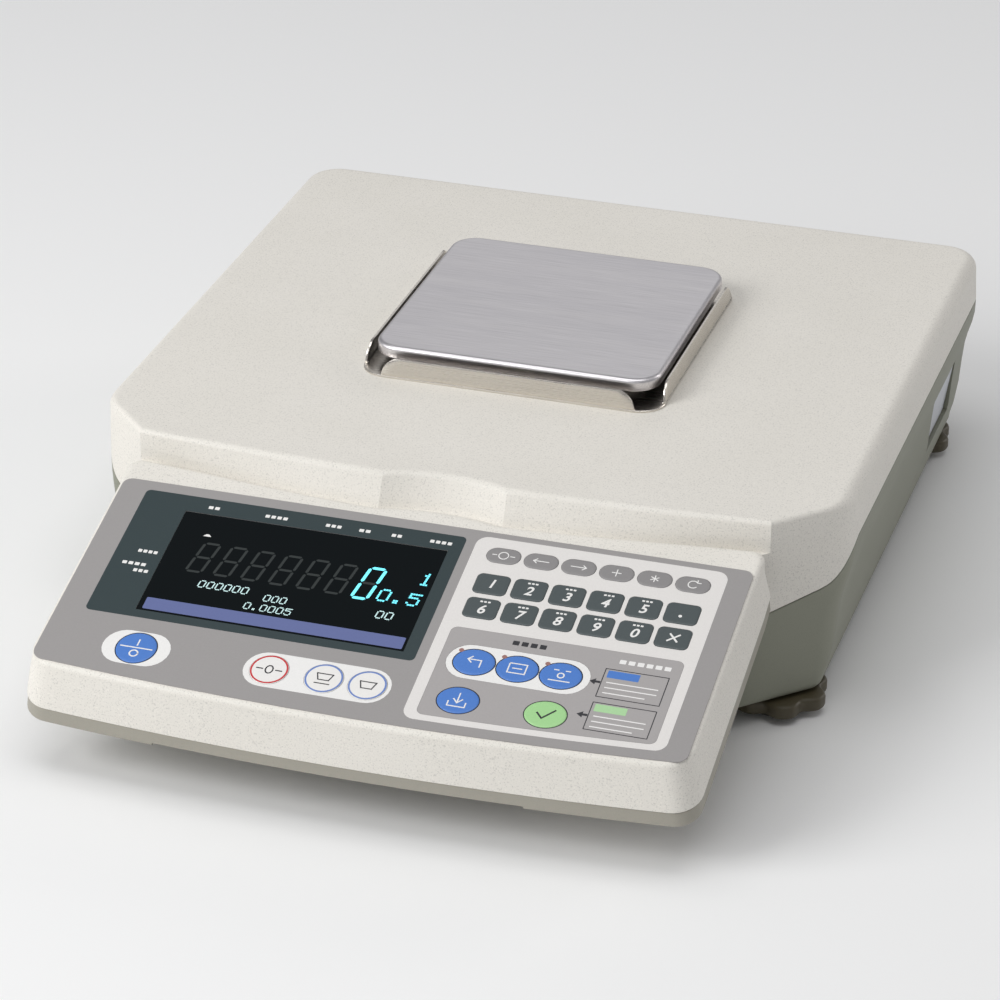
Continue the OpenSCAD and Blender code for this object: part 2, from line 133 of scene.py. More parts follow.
def cut(piece, cutters, angle=32):
    """Takes the cutters' solids out of the piece, for good."""
    for cutter in cutters:
        modifier = piece.modifiers.new("cut", "BOOLEAN")
        modifier.operation = "DIFFERENCE"
        modifier.solver = "EXACT"
        modifier.object = cutter
    apply_modifiers(piece, angle)
    for cutter in cutters:
        bpy.data.objects.remove(cutter)


def scratch(mesh, matrix=Matrix.Identity(4)):
    piece = bpy.data.objects.new("cutter", mesh)
    piece.matrix_world = matrix
    bpy.context.scene.collection.objects.link(piece)
    return piece


def cylinder_cutter(x, y, z, radius, length, axis="Z"):
    bm = bmesh.new()
    bmesh.ops.create_cone(bm, cap_ends=True, segments=48, radius1=radius * MM, radius2=radius * MM,
                          depth=length * MM)
    mesh = bpy.data.meshes.new("cutter")
    bm.to_mesh(mesh)
    bm.free()
    turn = {"Z": Matrix.Identity(4), "Y": Matrix.Rotation(math.pi / 2, 4, "X")}[axis]
    return scratch(mesh, Matrix.Translation(Vector((x, y, z)) * MM) @ turn)


def box_cutter(low, high):
    bm = bmesh.new()
    bmesh.ops.create_cube(bm, size=1)
    size = Vector(high) - Vector(low)
    middle = (Vector(high) + Vector(low)) / 2
    for vertex in bm.verts:
        vertex.co = Vector([middle[i] + vertex.co[i] * size[i] for i in range(3)]) * MM
    mesh = bpy.data.meshes.new("cutter")
    bm.to_mesh(mesh)
    bm.free()
    return scratch(mesh)


def mirrored(half):
    """A closed outline from its right half, which runs from the back middle to the front middle."""
    left = [(-p[0],) + tuple(p[1:]) for p in reversed(half)]
    drop_back = 1 if abs(half[0][0]) < 1e-6 else 0
    drop_front = 1 if abs(half[-1][0]) < 1e-6 else 0
    return half + left[drop_front:len(left) - drop_back]


def rounded_rectangle(width, depth, radius, inset=0.0, steps=8):
    w, d, r = width / 2 - inset, depth / 2 - inset, max(radius - inset, 0.05)
    out = []
    for quarter in range(4):
        cx, cy = ((w - r, d - r), (-w + r, d - r), (-w + r, -d + r), (w - r, -d + r))[quarter]
        for k in range(steps + 1):
            turn = math.pi / 2 * (quarter + k / steps)
            out.append((cx + r * math.cos(turn), cy + r * math.sin(turn)))
    return out


def lerp(a, b, t):
    return a + (b - a) * t


def smooth_step(t):
    t = min(1.0, max(0.0, t))
    return t * t * (3 - 2 * t)


# ---------------------------------------------------------------- body outlines

def front_upper(x, h, inset):
    """Distance forward of the deck's front wall: bowed, leaning forward, with the finger scallop."""
    lean = min(1.0, -h / -LEDGE_H)
    forward = VERTEX_D + lerp(5.5, 12.4, lean) * (1 - (x / VERTEX_X) ** 2) - inset
    if x < SCALLOP_X:
        forward -= SCALLOP_DEPTH * (1 - (x / SCALLOP_X) ** 2)
    return forward


def front_lower(x, h, inset):
    return min(VERTEX_D + VERTEX_X - x - inset * math.sqrt(2), FRONT_D - inset)


def body_ring(side, corner, inset_side, inset_front, front, height):
    """One closed outline of the body. height gets (d, w), w being 0 at the side and 1 at the front."""
    half = []
    rear = REAR_R - inset_side
    for k in range(9):
        turn = math.pi / 2 * k / 8
        half.append((side - REAR_R + rear * math.sin(turn), REAR_R - rear * math.cos(turn), 0.0))
    middle_d = VERTEX_D - (side - VERTEX_X) - corner * math.tan(math.pi / 8)
    for k in range(1, 8):
        half.append((side - inset_side, lerp(REAR_R, middle_d, k / 8), 0.0))
    for k in range(13):
        t = k / 12
        turn = math.pi / 4 * t
        w = smooth_step(t)
        r = corner - lerp(inset_side, inset_front, w)
        half.append((side - corner + r * math.cos(turn), middle_d + r * math.sin(turn), w))
    vx = VERTEX_X - (math.sqrt(2) - 1) * inset_front
    vd = front(vx, height(VERTEX_D, 1.0), inset_front)
    end = half[-1]
    for k in range(1, 9):
        half.append((lerp(end[0], vx, k / 8), lerp(end[1], vd, k / 8), 1.0))
    stops = [lerp(vx, SCALLOP_X, k / 12) for k in range(1, 13)] + [SCALLOP_X * (1 - k / 8) for k in range(1, 9)]
    for x in stops:
        half.append((x, front(x, height(FRONT_D, 1.0), inset_front), 1.0))
    half.insert(0, (0.0, half[0][1], 0.0))
    return mirrored([(x, REAR - d, DECK + height(d, w)) for x, d, w in half])


def seam_at(d):
    """Height of the seam between cover and base, which drops towards the front."""
    return SEAM_H - 0.30 * max(0.0, d - 262) - 9.5 * smooth_step((d - 262) / 22)


def level(h):
    return lambda d, w: h


def seam_shift(shift):
    return lambda d, w: seam_at(d) + shift


def cover_side(h):
    return SIDE - 0.9 * min(1.0, max(0.0, (21 + h) / 16))


# Height from the deck, and how far the side wall stands in from the seam's width there.
BASE_PROFILE = [(-21, 0.0), (-27, 0.15), (-31, 0.9), (-37, 2.6), (-43, 3.9),
                (-52, 4.8), (-64, 5.7), (-74, 7.2), (-81, 9.0)]


def base_inset(h):
    """How far the side wall of the base stands in from the seam's width."""
    for (h0, i0), (h1, i1) in zip(BASE_PROFILE, BASE_PROFILE[1:]):
        if h >= h1:
            return lerp(i0, i1, max(0.0, (h0 - h) / (h0 - h1)))
    return BASE_PROFILE[-1][1]


def base_ring(h, inset, height=None):
    side = SIDE - base_inset(h)
    corner = CORNER_R - base_inset(h) * 1.9
    return body_ring(side, corner, inset, inset, front_lower, height or level(h))


# ---------------------------------------------------------------- console frame

def panel_point(u, v, n):
    """Point of the tilted panel's frame (right, up the slope, out of the face) in the part's frame."""
    forward = PANEL_D - v * math.cos(SLOPE) + n * math.sin(SLOPE)
    return (u, REAR - forward, DECK + PANEL_H + v * math.sin(SLOPE) + n * math.cos(SLOPE))


PANEL_MATRIX = Matrix.Translation(Vector(panel_point(0, 0, 0)) * MM) @ Matrix.Rotation(SLOPE, 4, "X")


def console_back(u, half_width):
    """Back edge of the console: it follows the body's bow and swells into the scallop."""
    edge = 3.9 + 8.2 * (1 - max(0.0, 1 - (u / half_width) ** 2) ** 1.5)
    if u < SCALLOP_X - 1:
        edge += 3.1 * (1 - (u / (SCALLOP_X - 1)) ** 2)
    return edge


def console_ring(n, half_width, front, inset, height=None, clear=False):
    """One closed outline of the console; height gives n from (v, u) where it isn't level."""
    hw = half_width - inset
    half = []
    for k in range(9):
        u = (SCALLOP_X - 1) * k / 8
        half.append((u, console_back(u, CONSOLE_X) - inset))
    for k in range(1, 11):
        u = lerp(SCALLOP_X - 1, hw - 5, k / 10)
        half.append((u, console_back(min(u, CONSOLE_X), CONSOLE_X) - inset))
    top = half[-1][1]
    for k in range(1, 5):
        turn = math.pi / 2 * k / 4
        half.append((hw - 5 + 5 * math.sin(turn), top - 5 + 5 * math.cos(turn)))
    r = CONSOLE_CORNER - inset
    low = front + CONSOLE_CORNER
    for k in range(1, 7):
        half.append((hw, lerp(top - 5, low, k / 7)))
    for k in range(9):
        turn = math.radians(86) * k / 8
        half.append((hw - r + r * math.cos(turn), low - r * math.sin(turn)))
    start = half[-1][0]
    for k in range(1, 13):
        u = start * (1 - k / 12)
        half.append((u, front + inset - CONSOLE_BOW * (1 - (u / (half_width - 11)) ** 2)))
    ring = []
    for u, v in mirrored(half):
        x, y, z = panel_point(u, v, height(v, u) if height else n)
        if clear and z < DECK + LEDGE_H + 0.2:
            y = min(y, REAR - FRONT_D - 0.3)
        ring.append((x, y, z))
    return ring


def console_seam(v):
    return -16 - 5.3 * (40 - v) / 180


def console_edge(shift):
    return lambda v, u: console_seam(v) + shift


def console_under(v):
    return -22.5 - 5.3 * (40 - v) / 180


# ---------------------------------------------------------------- materials

def material(name, colour, roughness, metallic=0.0):
    """A node material with its principled shader set; the recipes below add their nodes to it."""
    made = bpy.data.materials.new(name)
    made.use_nodes = True
    shader = shader_of(made)
    shader.inputs["Base Color"].default_value = (*colour, 1)
    shader.inputs["Roughness"].default_value = roughness
    shader.inputs["Metallic"].default_value = metallic
    return made


def shader_of(made):
    return made.node_tree.nodes["Principled BSDF"]


def link(made, source, target):
    made.node_tree.links.new(source, target)


def add_node(made, kind, **values):
    node = made.node_tree.nodes.new(kind)
    for key, value in values.items():
        if key in node.inputs:
            node.inputs[key].default_value = value
        else:
            setattr(node, key, value)
    return node


def noise(made, scale, detail=2.0, stretch=(1, 1, 1), turn=(0, 0, 0)):
    """Noise in the object's own coordinates, in cycles per metre, stretched along its axes."""
    place = add_node(made, "ShaderNodeTexCoord")
    mapping = add_node(made, "ShaderNodeMapping")
    mapping.inputs["Scale"].default_value = stretch
    mapping.inputs["Rotation"].default_value = turn
    texture = add_node(made, "ShaderNodeTexNoise", Scale=scale, Detail=detail)
    link(made, place.outputs["Object"], mapping.inputs["Vector"])
    link(made, mapping.outputs["Vector"], texture.inputs["Vector"])
    return texture.outputs["Fac"]


def ramp(made, source, stops):
    node = add_node(made, "ShaderNodeValToRGB")
    elements = node.color_ramp.elements
    while len(elements) < len(stops):
        elements.new(0.5)
    for element, (place, colour) in zip(elements, stops):
        element.position = place
        element.color = (*colour, 1)
    link(made, source, node.inputs["Fac"])
    return node.outputs["Color"]


def mix(made, a, b, factor):
    node = add_node(made, "ShaderNodeMix", data_type="RGBA", blend_type="MULTIPLY")
    node.inputs["Factor"].default_value = factor
    link(made, a, node.inputs["A"])
    link(made, b, node.inputs["B"])
    return node.outputs["Result"]


def scale_colour(colour, factor):
    return tuple(min(1.0, c * factor) for c in colour)


def set_roughness(made, source, low, high):
    node = add_node(made, "ShaderNodeMapRange")
    node.inputs["To Min"].default_value = low
    node.inputs["To Max"].default_value = high
    link(made, source, node.inputs["Value"])
    link(made, node.outputs["Result"], shader_of(made).inputs["Roughness"])


def set_bump(made, source, strength, distance):
    node = add_node(made, "ShaderNodeBump", Strength=strength, Distance=distance)
    link(made, source, node.inputs["Height"])
    link(made, node.outputs["Normal"], shader_of(made).inputs["Normal"])


def set_colour(made, source):
    link(made, source, shader_of(made).inputs["Base Color"])


def moulded_plastic(name, colour, roughness, speck=0.05, grain=2600.0, bump=0.12):
    """Fine spark-textured plastic with faint darker specks and a slow change of tone."""
    made = material(name, colour, roughness)
    specks = noise(made, grain, 1.0)
    tone = noise(made, 22.0, 2.0)
    speckled = ramp(made, specks, [(0.30, scale_colour(colour, 1 - 2.2 * speck)), (0.42, colour),
                                   (0.62, colour), (0.74, scale_colour(colour, 1 + speck))])
    drift = ramp(made, tone, [(0.3, (0.975, 0.975, 0.97)), (0.7, (1.0, 1.0, 1.0))])
    set_colour(made, mix(made, speckled, drift, 1.0))
    set_roughness(made, specks, roughness - 0.06, roughness + 0.08)
    set_bump(made, specks, bump, 0.00012)
    return made


def brushed_metal(name, colour, roughness, along=(1.0, 60.0, 60.0), contrast=0.16, bump=0.10, aniso=0.6):
    """Brushed metal: hair lines along X, with slower bands between them."""
    made = material(name, colour, roughness, metallic=1.0)
    hair = noise(made, 46.0, 5.0, stretch=along)
    bands = noise(made, 9.0, 3.0, stretch=(along[0], along[1] / 6, along[2] / 6))
    lines = ramp(made, hair, [(0.30, scale_colour(colour, 1 - contrast)),
                              (0.70, scale_colour(colour, 1 + contrast / 2))])
    slow = ramp(made, bands, [(0.3, (0.93, 0.93, 0.94)), (0.7, (1.0, 1.0, 1.0))])
    set_colour(made, mix(made, lines, slow, 1.0))
    set_roughness(made, hair, roughness - 0.06, roughness + 0.10)
    set_bump(made, hair, bump, 0.00006)
    shader = shader_of(made)
    shader.inputs["Anisotropic"].default_value = aniso
    grain = add_node(made, "ShaderNodeCombineXYZ")
    grain.inputs["X"].default_value = 1.0
    link(made, grain.outputs["Vector"], shader.inputs["Tangent"])
    return made


def printed(name, colour, roughness=0.42, weave=0.02):
    """Screen print or key film: even colour with a faint mottled ink texture."""
    made = material(name, colour, roughness)
    fine = noise(made, 1500.0, 2.0)
    set_colour(made, ramp(made, fine, [(0.3, scale_colour(colour, 1 - weave)),
                                       (0.7, scale_colour(colour, 1 + weave))]))
    set_roughness(made, fine, roughness - 0.05, roughness + 0.05)
    set_bump(made, fine, 0.05, 0.00004)
    return made


def glowing(name, colour, strength):
    made = printed(name, colour, 0.4)
    shader = shader_of(made)
    shader.inputs["Emission Color"].default_value = (*colour, 1)
    shader.inputs["Emission Strength"].default_value = strength
    return made


COVER = moulded_plastic("cover_plastic", (0.80, 0.77, 0.71), 0.52, speck=0.09, grain=1500.0)
BASE = moulded_plastic("base_plastic", (0.255, 0.26, 0.205), 0.50, speck=0.04)
LOWER = moulded_plastic("lower_shell_plastic", (0.36, 0.34, 0.29), 0.5, speck=0.04)
KNOB = moulded_plastic("knob_plastic", (0.075, 0.062, 0.034), 0.40, speck=0.06)
RUBBER = moulded_plastic("rubber", (0.035, 0.034, 0.032), 0.75, speck=0.05)
BLACK = moulded_plastic("black_plastic", (0.02, 0.02, 0.02), 0.35, speck=0.05)
CARD = moulded_plastic("circuit_board", (0.03, 0.16, 0.07), 0.38, speck=0.08, grain=900.0)
CABLE = moulded_plastic("flat_cable", (0.5, 0.52, 0.55), 0.45, speck=0.04)
PAN = brushed_metal("pan_steel", (0.80, 0.775, 0.79), 0.36)
TRAY = brushed_metal("tray_steel", (0.72, 0.68, 0.62), 0.26, contrast=0.08, bump=0.05)
CAST = brushed_metal("cell_aluminium", (0.72, 0.72, 0.73), 0.36, contrast=0.08)
SCREW = brushed_metal("steel_screw", (0.55, 0.55, 0.56), 0.3, along=(8.0, 8.0, 8.0), contrast=0.1)
LABEL = brushed_metal("label_silver", (0.60, 0.62, 0.66), 0.4, contrast=0.06)
PORT = brushed_metal("port_metal", (0.42, 0.42, 0.43), 0.32, contrast=0.08)
VIAL = printed("vial", (0.50, 0.62, 0.12), 0.12)
FILM = printed("overlay_film", (0.335, 0.32, 0.315), 0.40)
FILM_LIGHT = printed("print_light", (0.78, 0.755, 0.73), 0.42)
FILM_INNER = printed("print_inner_grey", (0.40, 0.38, 0.375), 0.42)
FILM_DARK = printed("print_dark", (0.030, 0.048, 0.052), 0.36)
INK_WHITE = printed("print_white", (0.86, 0.85, 0.83), 0.42)
INK_DARK = printed("print_black", (0.03, 0.03, 0.035), 0.42)
INK_RED = printed("print_red", (0.60, 0.045, 0.05), 0.42)
INK_BLUE = printed("print_blue_line", (0.16, 0.25, 0.56), 0.42)
INK_STRIP = printed("print_strip", (0.125, 0.155, 0.345), 0.40)
INK_LAMP = printed("print_lamp", (0.34, 0.17, 0.15), 0.35)
INK_GREEN = printed("print_green_tag", (0.42, 0.68, 0.36), 0.42)
KEY_FN = printed("fn_key", (0.27, 0.26, 0.26), 0.36)
KEY_NUMBER = printed("number_key", (0.075, 0.092, 0.095), 0.36)
KEY_BLUE = printed("blue_key", (0.075, 0.21, 0.60), 0.36)
KEY_GREEN = printed("green_key", (0.38, 0.68, 0.30), 0.36)
KEY_WHITE = printed("white_key", (0.85, 0.835, 0.81), 0.38)
GLASS_BLACK = printed("window_glass", (0.004, 0.006, 0.007), 0.12)
shader_of(GLASS_BLACK).inputs["Specular IOR Level"].default_value = 0.12
GHOST = printed("ghost_segments", (0.030, 0.036, 0.036), 0.25)
LIT = glowing("lit_segments", (0.14, 0.66, 0.78), 0.9)
LIT_WHITE = glowing("lit_marks", (0.45, 0.62, 0.62), 0.7)


# ---------------------------------------------------------------- body shells

def make_cover():
    rings = [body_ring(cover_side(-5), CORNER_R, 6.6, 2.9, front_upper, level(0))]
    for k in range(10):
        turn = math.pi / 2 * k / 9

        def height(d, w, turn=turn):
            return -lerp(6.0, 2.2, w) * (1 - math.cos(turn))
        side_in, front_in = 6.0 * (1 - math.sin(turn)), 2.2 * (1 - math.sin(turn))
        rings.append(body_ring(cover_side(-6), CORNER_R, side_in, front_in, front_upper, height))
    for side, inset, front, height in (
            (cover_side(-10), 0, front_upper, level(-10)),
            (cover_side(-14), 0, front_upper, level(LEDGE_H)),
            (cover_side(-14), 0, front_lower, level(LEDGE_H)),
            (SIDE, 0, front_lower, seam_shift(0.25)),
            (SIDE, 0.25, front_lower, seam_shift(0)),
            (SIDE, 1.3, front_lower, seam_shift(0)),
            (SIDE, 1.3, front_lower, seam_shift(3)),
            (SIDE, WALL, front_lower, seam_shift(3)),
            (SIDE, WALL, front_lower, level(LEDGE_H - WALL)),
            (SIDE, WALL, front_upper, level(LEDGE_H - WALL)),
            (SIDE - 1.5, WALL, front_upper, level(-WALL))):
        rings.append(body_ring(side, CORNER_R, inset, inset, front, height))
    mesh = loft_mesh("cover_shell", rings, angle=COVER_CREASE)
    cover = add_object("cover_shell", mesh, COVER, "base", ["top_cover"])
    pan_low, pan_high = cad_box("weighing_pan")
    middle_y = (pan_low.y + pan_high.y) / 2
    cut(cover, [cylinder_cutter(0, middle_y, DECK, 16, 12)], COVER_CREASE)


def base_shell():
    """Outside of the base, its rounded lower edge, its floor and its lining; the sockets and bores are cut in after it
    is made.
    """
    bottom = UNDER + 2.6
    rings = [base_ring(SEAM_H, WALL, seam_shift(-6)), base_ring(SEAM_H, WALL, seam_shift(2.4)),
             base_ring(SEAM_H, 1.5, seam_shift(2.4)), base_ring(SEAM_H, 1.5, seam_shift(-0.38)),
             base_ring(SEAM_H, 0.3, seam_shift(-0.38)), base_ring(SEAM_H, 0.0, seam_shift(-0.7))]
    for h, _ in BASE_PROFILE[1:]:
        def follow(d, w, h=h):
            return lerp(bottom, seam_at(d) - 0.7, (h - bottom) / (SEAM_H - bottom))
        rings.append(base_ring(h, 0.0, follow))
    for k in range(5):
        turn = math.pi / 2 * k / 4
        rings.append(base_ring(UNDER + 2.6 * (1 - math.sin(turn)), 2.0 * (1 - math.cos(turn))))
    inner = [base_ring(UNDER + WALL, 4.4), base_ring(-50, WALL), base_ring(SEAM_H, WALL, seam_shift(-6))]
    floor_ring = base_ring(UNDER, 2.7)
    mesh = loft_mesh("base_shell", rings + [floor_ring], caps=(False, True))
    lining = loft_mesh("base_lining", inner, caps=(True, False))
    joined = bmesh.new()
    joined.from_mesh(mesh)
    joined.from_mesh(lining)
    bmesh.ops.remove_doubles(joined, verts=joined.verts, dist=1e-6)
    joined.to_mesh(mesh)
    joined.free()
    bpy.data.meshes.remove(lining)
    smooth_by_angle(mesh, 32)
    return mesh


make_cover()
base_piece = add_object("base_shell", base_shell(), BASE, "base", ["base_housing"])
jack_low, jack_high = cad_box("dc_jack")
port_low, port_high = cad_box("data_port")
bores = [box_cutter((port_low.x - 0.3, port_low.y - 1, port_low.z + 0.5),
                    (port_high.x + 0.3, REAR + 1, port_high.z - 0.5)),
         cylinder_cutter((jack_low.x + jack_high.x) / 2, REAR - 6, (jack_low.z + jack_high.z) / 2, 5.6, 20, "Y")]
label_low, label_high = cad_box("side_label_plates")
for side in (-1, 1):
    # The recess that shows the silver label plate, deeper towards the bottom where the wall leans in.
    near, far = label_low.y - LABEL_GAP, label_high.y + LABEL_GAP
    recess = [[(side * x, y, z) for x, y in ((floor_x, near), (200, near), (200, far), (floor_x, far))]
              for floor_x, z in ((156.6, label_low.z - LABEL_GAP), (160.4, label_high.z + LABEL_GAP))]
    bores.append(scratch(loft_mesh("cutter", recess)))
cut(base_piece, bores)


# ---------------------------------------------------------------- console shells

def make_console():
    # Front edge at the corners and half width, by depth below the face.
    def front(n):
        return -112.8 - 0.30 * -n

    def width(n):
        return CONSOLE_X + 0.22 * max(0.0, -n - 3)
    rings = [console_ring(0, CONSOLE_X, front(-2.5), 3.4)]
    for k in range(6):
        turn = math.pi / 2 * k / 5
        rings.append(console_ring(-2.5 * (1 - math.cos(turn)), CONSOLE_X, front(-2.5), 2.5 * (1 - math.sin(turn))))
    rings += [console_ring(n, width(n), front(n), 0, clear=True) for n in (-4.8, -5.1, -11)]
    rings += [console_ring(0, width(-18), front(-19.5), inset, console_edge(shift), clear=True)
              for inset, shift in ((0, 0.3), (0.3, 0), (WALL, 0))]
    rings.append(console_ring(-6, width(-6), front(-6), WALL, clear=True))
    rings.append(console_ring(-WALL, width(-3), front(-3), WALL, clear=True))
    upper = add_object("console_top", loft_mesh("console_top", rings), COVER, "base", ["console_upper_shell"])
    return upper, front, width


def key_shape(kind, grow):
    """Outline of a key: 0 function oval, 1 number key, 2 round key."""
    if kind == 0:
        return rounded_rectangle(14.4 + 2 * grow, 8.8 + 2 * grow, 4.3 + grow)
    if kind == 1:
        return rounded_rectangle(14.0 + 2 * grow, 11.6 + 2 * grow, 2.4 + grow, steps=5)
    return [((8.4 + grow) * math.cos(math.pi * k / 20), (8.4 + grow) * math.sin(math.pi * k / 20)) for k in range(40)]


KEY_PITCH = 15.92
FN_U = [34.05 + KEY_PITCH * k for k in range(6)]
KEYS = {f"key_fn_{k + 1}": (0, FN_U[k], -14.2) for k in range(6)}
for row, names in ((-31.3, ("1", "2", "3", "4", "5", "point")), (-45.4, ("6", "7", "8", "9", "0", "clear"))):
    for k, name in enumerate(names):
        KEYS["key_" + name] = (1, FN_U[k], row)
KEYS.update(key_recall=(2, 40.1, -75.4), key_unit_entry=(2, 58.0, -75.4), key_sample=(2, 75.9, -75.4),
            key_store=(2, 40.1, -97.1), key_confirm=(2, 75.9, -97.1), key_power=(2, -95.3, -97.0),
            key_zero=(2, -38.6, -97.1), key_tare_set=(2, -15.6, -97.1), key_tare=(2, 2.6, -97.1))
KEY_MATERIAL = {"key_confirm": KEY_GREEN, "key_zero": KEY_WHITE, "key_tare_set": KEY_WHITE, "key_tare": KEY_WHITE}
FILM_TOP = 0.4
FILM_CORNER_U = 131.0


def prism_cutter(outline, u, v, n0, n1):
    rings = [[(x + u, y + v, n) for x, y in outline] for n in (n0, n1)]
    return scratch(loft_mesh("cutter", rings), PANEL_MATRIX)


console_piece, console_front, console_width = make_console()
WINDOW_U = (-103.5, 10.5)
WINDOW_V = (-75.5, -16.0)
window_shape = [(WINDOW_U[0] - 0.2, WINDOW_V[0] - 0.2), (WINDOW_U[1] + 0.2, WINDOW_V[0] - 0.2),
                (WINDOW_U[1] + 0.2, WINDOW_V[1] + 0.2), (WINDOW_U[0] - 0.2, WINDOW_V[1] + 0.2)]
holes = [prism_cutter(key_shape(kind, 0.3), u, v, -7, 3) for kind, u, v in KEYS.values()]
holes.append(prism_cutter(window_shape, 0, 0, -7, 3))
cut(console_piece, holes)


def make_lower_console():
    inset = 0.9
    wide, low = console_width(-20), console_front(-21)
    rings = [console_ring(0, wide, low, edge, console_edge(-0.3), clear=True) for edge in (WALL + 0.6, inset)]
    under = [console_ring(0, wide + 0.6, low - 1.6, edge, lambda v, u, r=rise: console_under(v) + r, clear=True)
             for edge, rise in ((inset, 1.0), (inset + 0.3, 0.3), (inset + 1.0, 0.0), (inset + 9.0, 0.0))]
    return loft_mesh("console_underside", rings + under)


lower_piece = add_object("console_underside", make_lower_console(), LOWER, "base", ["console_lower_shell"])
relief = [(-83, -160), (72.5, -160), (72.5, 60), (-83, 60)]
relief_rings = [[(u, v, -60) for u, v in relief], [(u, v, console_under(v) + 1.6) for u, v in relief]]
cut(lower_piece, [scratch(loft_mesh("cutter", relief_rings), PANEL_MATRIX)])


# ---------------------------------------------------------------- pan and tray

def flat_rings(outline, steps, middle):
    """Rings of one outline function at (inset, height) steps round a middle point."""
    return [[(x + middle[0], y + middle[1], z) for x, y in outline(inset)] for inset, z in steps]


def fillet(radius, z_top, count=4):
    """(inset, height) steps of a rounded top edge, from the flat to the wall."""
    turns = [math.pi / 2 * k / count for k in range(count + 1)]
    return [(radius * (1 - math.sin(turn)), z_top - radius * (1 - math.cos(turn))) for turn in turns]


pan_low, pan_high = cad_box("weighing_pan")
PAN_SIZE = pan_high - pan_low
pan_middle = (pan_low + pan_high) / 2


def pan_outline(inset):
    return rounded_rectangle(PAN_SIZE.x, PAN_SIZE.y, 12.0, inset, 12)


def make_pan():
    top, low, sheet = pan_high.z, pan_low.z, 1.2
    steps = [(2.6, top)] + fillet(1.9, top, 6) + [(0.0, low + 0.7), (0.2, low + 0.2), (0.6, low)]
    steps += [(sheet, low + 0.2), (sheet, top - 2.2), (sheet + 1.2, top - sheet)]
    return loft_mesh("pan_plate", flat_rings(pan_outline, steps, pan_middle), angle=40)


add_object("pan_plate", make_pan(), PAN, "pan", ["weighing_pan"])
tray_low, tray_high = cad_box("breeze_tray")
tray_middle = (tray_low + tray_high) / 2
TRAY_SIZE = tray_high.x - tray_low.x
TRAY_SHEET = 1.0


def tray_floor():
    def outline(inset):
        return rounded_rectangle(TRAY_SIZE, TRAY_SIZE, 12.0, inset, 10)
    z = tray_low.z
    steps = [(1.2, z + 0.05), (0.0, z + 0.05), (0.0, z + TRAY_SHEET - 0.3),
             (0.3, z + TRAY_SHEET), (1.2, z + TRAY_SHEET)]
    return loft_mesh("tray_floor", flat_rings(outline, steps, tray_middle), angle=40)


def tray_wall(turn):
    """One side of the tray: folded up, leaning in a little, with ends that sweep to the open corners."""
    foot, sweep, height = (TRAY_SIZE - 24) / 2, 6.4, tray_high.z - tray_low.z
    rows = []
    for k in range(13):
        z = height * k / 12
        reach = foot + 1.2 - sweep * (0.3 * z / height + 0.7 * (z / height) ** 4)
        fold = 1.4 * max(0.0, 1 - z / 1.6) ** 2
        out = TRAY_SIZE / 2 - 0.9 * z / height - fold
        rows.append([(lerp(-reach, reach, i / 24), -out, z) for i in range(25)])
    bm = bmesh.new()
    grid = [[bm.verts.new(Vector(p)) for p in row] for row in rows]
    for a, b in zip(grid, grid[1:]):
        for i in range(24):
            bm.faces.new((a[i], a[i + 1], b[i + 1], b[i]))
    spin = Matrix.Translation(Vector((tray_middle.x, tray_middle.y, tray_low.z))) @ Matrix.Rotation(turn, 4, "Z")
    bm.transform(Matrix.Scale(MM, 4) @ spin)
    mesh = bpy.data.meshes.new("tray_wall")
    bm.to_mesh(mesh)
    bm.free()
    return mesh


def make_tray():
    floor = add_object("tray_floor", tray_floor(), TRAY, "base", ["breeze_tray"])
    openings = [cylinder_cutter(pan_middle.x, pan_middle.y, tray_low.z, 16, 8),
                cylinder_cutter(tray_middle.x, tray_middle.y - 50, tray_low.z, 6.1, 8)]
    cut(floor, openings)
    for k, side in enumerate(("front", "right", "back", "left")):
        wall = add_object("tray_wall_" + side, tray_wall(math.pi / 2 * k), TRAY, "base", ["breeze_tray"])
        solid = wall.modifiers.new("sheet", "SOLIDIFY")
        solid.thickness = TRAY_SHEET * MM
        solid.offset = -1
        rounding = wall.modifiers.new("edge", "BEVEL")
        rounding.width = 0.18 * MM
        rounding.segments = 2
        rounding.limit_method = "ANGLE"
        apply_modifiers(wall, 40)


make_tray()


# ---------------------------------------------------------------- feet

def knob_outline(inset, lobes=7, radius=22.0, dip=3.6):
    out = []
    for k in range(168):
        turn = 2 * math.pi * k / 168
        wave = math.cos(lobes * (turn - math.radians(10)))
        r = radius - dip * (0.5 + 0.5 * wave) ** 1.7 - inset
        out.append((r * math.cos(turn), r * math.sin(turn)))
    return out


def disc(radius):
    return lambda inset: [((radius - inset) * math.cos(2 * math.pi * k / 64),
                           (radius - inset) * math.sin(2 * math.pi * k / 64)) for k in range(64)]


